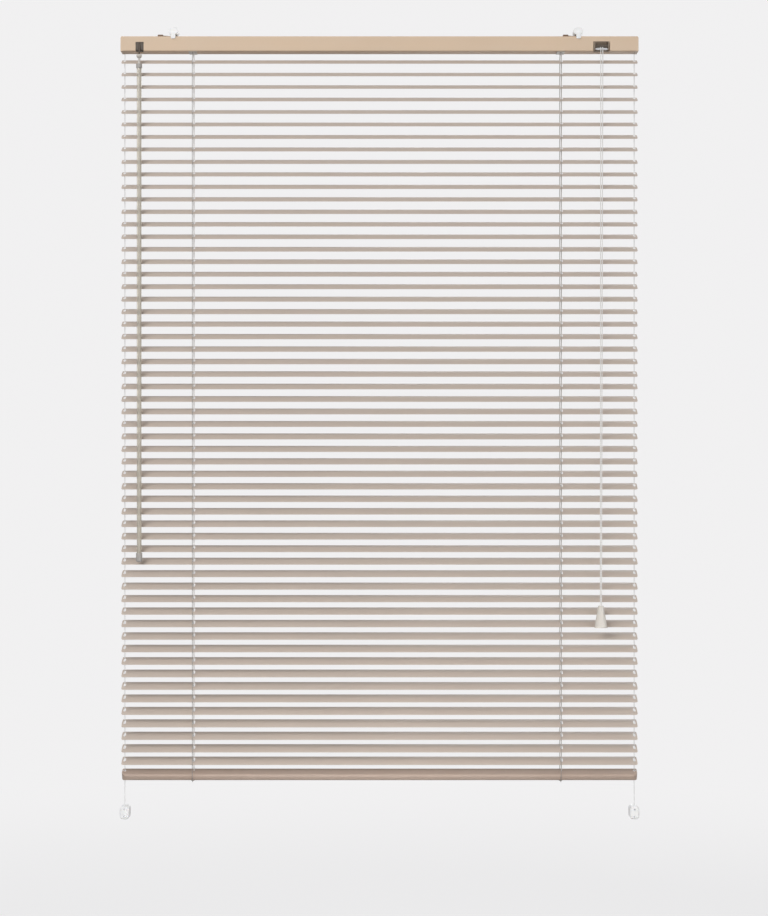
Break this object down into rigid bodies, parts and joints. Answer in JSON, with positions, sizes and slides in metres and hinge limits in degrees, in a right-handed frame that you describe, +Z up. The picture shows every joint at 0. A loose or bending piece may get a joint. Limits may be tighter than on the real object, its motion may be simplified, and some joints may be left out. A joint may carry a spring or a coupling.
{
  "type": "aluminium venetian blind",
  "caption": "Venetian blind with crowned aluminium slats on string ladders, open head rail with wand tilter and cord lock, bottom rail, side guide wires and clamps for a window sash.",
  "frame": {"origin": "middle of the blind's length, on the edge where the front face of the window sash that it hangs on meets the sash's top", "axes": "+X to the right seen from the room, +Y from the room into the window, +Z up"},
  "size_m": [0.8342, 0.0693, 1.2704],
  "materials": {
    "rail_paint": "semi-gloss beige paint on sheet",
    "slat_paint": "semi-gloss taupe paint on aluminium",
    "ladder_string": "braided polyester string",
    "cord": "braided polyester cord",
    "wire_sheath": "plastic-sheathed wire",
    "white_plastic": "moulded white plastic",
    "pale_plastic": "moulded natural plastic",
    "grey_plastic": "moulded grey plastic",
    "dark_plastic": "moulded dark brown plastic",
    "brown_plastic": "moulded brown plastic",
    "clear_plastic": "clear moulded plastic",
    "tassel_plastic": "translucent moulded plastic",
    "steel": "zinc-plated steel"
  },
  "bodies": {
    "blind": {"head_rail": "rail_paint", "end_cap_left": "rail_paint", "end_cap_right": "rail_paint", "drum_cradle_left": "pale_plastic", "drum_cradle_right": "pale_plastic", "tilter_housing": "dark_plastic", "cord_lock": "dark_plastic", "clamp_body_left": "white_plastic", "clamp_body_right": "white_plastic", "clamp_hook_left": "steel", "clamp_hook_right": "steel", "clamp_screws": "steel", "slats": "slat_paint", "ladder_left": "ladder_string", "ladder_right": "ladder_string", "lift_cord_left": "cord", "lift_cord_right": "cord", "pull_cord_left": "cord", "pull_cord_right": "cord", "guide_wire_left": "wire_sheath", "guide_wire_right": "wire_sheath", "guide_holder_left": "white_plastic", "guide_holder_right": "white_plastic", "holder_screws": "steel"},
    "tilt_shaft": {"tilt_rod": "steel", "tilt_drum_left": "pale_plastic", "tilt_drum_right": "pale_plastic", "worm_wheel": "pale_plastic"},
    "worm": {"worm": "dark_plastic"},
    "wand": {"wand_socket": "pale_plastic", "wand_sleeve": "grey_plastic", "tilt_wand": "clear_plastic", "wand_grip": "grey_plastic"},
    "roller": {"cord_roller": "steel"},
    "lock_pin": {"locking_pin": "steel"},
    "catch_left": {"swivel_catch_left": "brown_plastic"},
    "catch_right": {"swivel_catch_right": "brown_plastic"},
    "bottom": {"bottom_rail": "rail_paint", "bottom_cap_left": "rail_paint", "bottom_cap_right": "rail_paint", "ladder_button_left": "grey_plastic", "ladder_button_right": "grey_plastic"},
    "tassel": {"cord_tassel": "tassel_plastic"}
  },
  "joints": [
    {"name": "lift", "type": "slide", "parent": "blind", "child": "bottom", "axis": [0, 0, 1], "range_m": [0, 1.06], "deforming": ["slats", "ladder_left", "ladder_right", "lift_cord_left", "lift_cord_right"]},
    {"name": "cord_pull", "type": "slide", "parent": "blind", "child": "tassel", "axis": [0, 0, -1], "range_m": [0, 1.061], "deforming": ["pull_cord_left", "pull_cord_right"]},
    {"name": "wand_turn", "type": "hinge", "parent": "blind", "child": "wand", "pos_m": [-0.3845, -0.0322, -0.0325], "axis": [0, 0, -1], "range_deg": [-1800, 765]},
    {"name": "worm_turn", "type": "hinge", "parent": "blind", "child": "worm", "pos_m": [-0.3845, -0.02335, -0.00819], "axis": [0, -0.342, -0.9397], "range_deg": [-1801, 766]},
    {"name": "rod_turn", "type": "hinge", "parent": "blind", "child": "tilt_shaft", "pos_m": [0, -0.0148, -0.0113], "axis": [1, 0, 0], "range_deg": [-121, 52]},
    {"name": "roller_spin", "type": "hinge", "parent": "blind", "child": "roller", "pos_m": [0.356, -0.026, -0.0205], "axis": [1, 0, 0], "continuous": true},
    {"name": "lock_slide", "type": "slide", "parent": "blind", "child": "lock_pin", "axis": [0, 0.5, 0.866], "range_m": [0, 0.0034]},
    {"name": "catch_left_turn", "type": "hinge", "parent": "blind", "child": "catch_left", "pos_m": [-0.3306, -0.0148, 0], "axis": [0, 0, -1], "range_deg": [0, 60]},
    {"name": "catch_right_turn", "type": "hinge", "parent": "blind", "child": "catch_right", "pos_m": [0.319, -0.0148, 0], "axis": [0, 0, -1], "range_deg": [0, 60]}
  ],
  "couplings": [
    {"joint": "cord_pull", "follows": "lift", "ratio": 1},
    {"joint": "worm_turn", "follows": "wand_turn", "ratio": 1},
    {"joint": "rod_turn", "follows": "wand_turn", "ratio": 0.066667}
  ]
}
